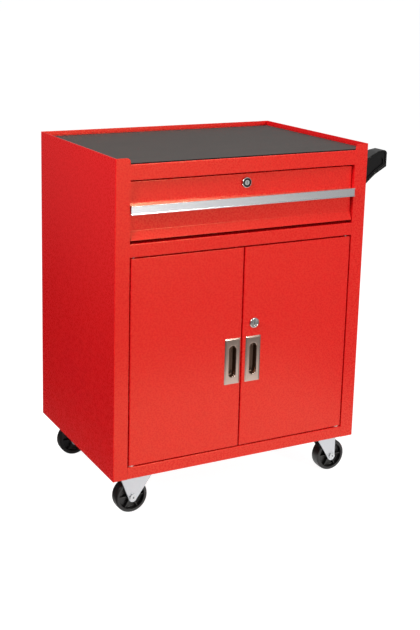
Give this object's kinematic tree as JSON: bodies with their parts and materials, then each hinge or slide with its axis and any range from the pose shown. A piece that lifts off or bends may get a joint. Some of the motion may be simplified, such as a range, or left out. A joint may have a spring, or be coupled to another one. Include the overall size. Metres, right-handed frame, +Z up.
{
  "type": "roller tool cabinet",
  "caption": "Red sheet-steel tool cabinet on casters: a matted top tray over a locking slide-out drawer and a double-door cupboard with flush pulls, and a push handle at one side.",
  "frame": {"origin": "on the floor under the centre of the whole cabinet's bounding box, handle and bar included", "axes": "+Z up, -Y towards the user at the front, +X towards the push handle on the right"},
  "size_m": [0.6848, 0.427, 0.782],
  "materials": {
    "paint_red": "satin powder coat",
    "mat_rubber": "ribbed, matt",
    "bar_aluminium": "satin anodised",
    "pull_nickel": "brushed nickel",
    "lock_chrome": "polished",
    "lock_zinc": "zinc plated",
    "slide_zinc": "zinc plated, roll formed",
    "caster_zinc": "bright zinc plated, pressed",
    "fastener_zinc": "zinc plated",
    "handle_plastic": "moulded, fine grain",
    "grip_foam": "sleeved tube",
    "wheel_plastic": "moulded",
    "washer_nylon": "natural nylon",
    "catch_plastic": "moulded"
  },
  "bodies": {
    "cabinet": {"left_side_panel": "paint_red", "right_side_panel": "paint_red", "back_panel": "paint_red", "top_tray": "paint_red", "top_mat": "mat_rubber", "middle_rail": "paint_red", "bottom_pan": "paint_red", "left_runner_channel": "paint_red", "right_runner_channel": "paint_red", "shelf": "paint_red", "shelf_clips": "fastener_zinc", "left_slide_outer": "slide_zinc", "right_slide_outer": "slide_zinc", "catch_magnets": "catch_plastic", "handle_bracket_front": "handle_plastic", "handle_bracket_rear": "handle_plastic", "handle_grip": "grip_foam", "handle_screws": "fastener_zinc", "left_caster_channel": "caster_zinc", "right_caster_channel": "caster_zinc", "fixed_fork_front": "caster_zinc", "fixed_fork_rear": "caster_zinc", "fixed_axles": "fastener_zinc", "swivel_plate_front": "caster_zinc", "swivel_plate_rear": "caster_zinc", "kingpins": "fastener_zinc", "caster_bolts": "fastener_zinc"},
    "drawer": {"drawer_box": "paint_red", "drawer_front": "paint_red", "drawer_bar": "bar_aluminium", "left_slide_inner": "slide_zinc", "right_slide_inner": "slide_zinc", "drawer_lock_body": "lock_chrome", "drawer_lock_nut": "lock_zinc"},
    "left_slide": {"left_slide_middle": "slide_zinc"},
    "right_slide": {"right_slide_middle": "slide_zinc"},
    "drawer_lock": {"drawer_lock_plug": "lock_chrome", "drawer_lock_cam": "lock_zinc"},
    "left_door": {"left_door_shell": "paint_red", "left_pull": "pull_nickel", "left_hinge_pins": "fastener_zinc", "left_hinge_washer": "washer_nylon", "left_strike": "fastener_zinc"},
    "right_door": {"right_door_shell": "paint_red", "right_pull": "pull_nickel", "right_hinge_pins": "fastener_zinc", "right_hinge_washer": "washer_nylon", "right_strike": "fastener_zinc", "door_lock_body": "lock_chrome", "door_lock_nut": "lock_zinc"},
    "door_lock": {"door_lock_plug": "lock_chrome", "door_lock_cam": "lock_zinc"},
    "swivel_front": {"swivel_fork_front": "caster_zinc", "swivel_axle_front": "fastener_zinc"},
    "swivel_rear": {"swivel_fork_rear": "caster_zinc", "swivel_axle_rear": "fastener_zinc"},
    "left_wheel_front": {"left_wheel_front": "wheel_plastic"},
    "left_wheel_rear": {"left_wheel_rear": "wheel_plastic"},
    "right_wheel_front": {"right_wheel_front": "wheel_plastic"},
    "right_wheel_rear": {"right_wheel_rear": "wheel_plastic"}
  },
  "joints": [
    {"name": "drawer_slide", "type": "slide", "parent": "cabinet", "child": "drawer", "axis": [0, -1, 0], "range_m": [0, 0.35]},
    {"name": "left_slide_run", "type": "slide", "parent": "cabinet", "child": "left_slide", "axis": [0, -1, 0], "range_m": [0, 0.175]},
    {"name": "right_slide_run", "type": "slide", "parent": "cabinet", "child": "right_slide", "axis": [0, -1, 0], "range_m": [0, 0.175]},
    {"name": "drawer_lock_turn", "type": "hinge", "parent": "drawer", "child": "drawer_lock", "pos_m": [-0.0374, -0.198, 0.7138], "axis": [0, 1, 0], "range_deg": [0, 180]},
    {"name": "left_door_hinge", "type": "hinge", "parent": "cabinet", "child": "left_door", "pos_m": [-0.2984, -0.1985, 0.35], "axis": [0, 0, -1], "range_deg": [0, 105]},
    {"name": "right_door_hinge", "type": "hinge", "parent": "cabinet", "child": "right_door", "pos_m": [0.2236, -0.1985, 0.35], "axis": [0, 0, 1], "range_deg": [0, 105]},
    {"name": "door_lock_turn", "type": "hinge", "parent": "right_door", "child": "door_lock", "pos_m": [-0.0118, -0.2065, 0.4053], "axis": [0, 1, 0], "range_deg": [0, 90]},
    {"name": "swivel_turn_front", "type": "hinge", "parent": "cabinet", "child": "swivel_front", "pos_m": [0.208, -0.1605, 0.088], "axis": [0, 0, 1], "continuous": true},
    {"name": "right_wheel_spin_front", "type": "hinge", "parent": "swivel_front", "child": "right_wheel_front", "pos_m": [0.234, -0.1605, 0.0375], "axis": [0, 1, 0], "continuous": true},
    {"name": "left_wheel_spin_front", "type": "hinge", "parent": "cabinet", "child": "left_wheel_front", "pos_m": [-0.2828, -0.1605, 0.0375], "axis": [0, 1, 0], "continuous": true},
    {"name": "swivel_turn_rear", "type": "hinge", "parent": "cabinet", "child": "swivel_rear", "pos_m": [0.208, 0.1675, 0.088], "axis": [0, 0, 1], "continuous": true},
    {"name": "right_wheel_spin_rear", "type": "hinge", "parent": "swivel_rear", "child": "right_wheel_rear", "pos_m": [0.234, 0.1675, 0.0375], "axis": [0, 1, 0], "continuous": true},
    {"name": "left_wheel_spin_rear", "type": "hinge", "parent": "cabinet", "child": "left_wheel_rear", "pos_m": [-0.2828, 0.1675, 0.0375], "axis": [0, 1, 0], "continuous": true}
  ],
  "couplings": [
    {"joint": "left_slide_run", "follows": "drawer_slide", "ratio": 0.5},
    {"joint": "right_slide_run", "follows": "drawer_slide", "ratio": 0.5}
  ]
}
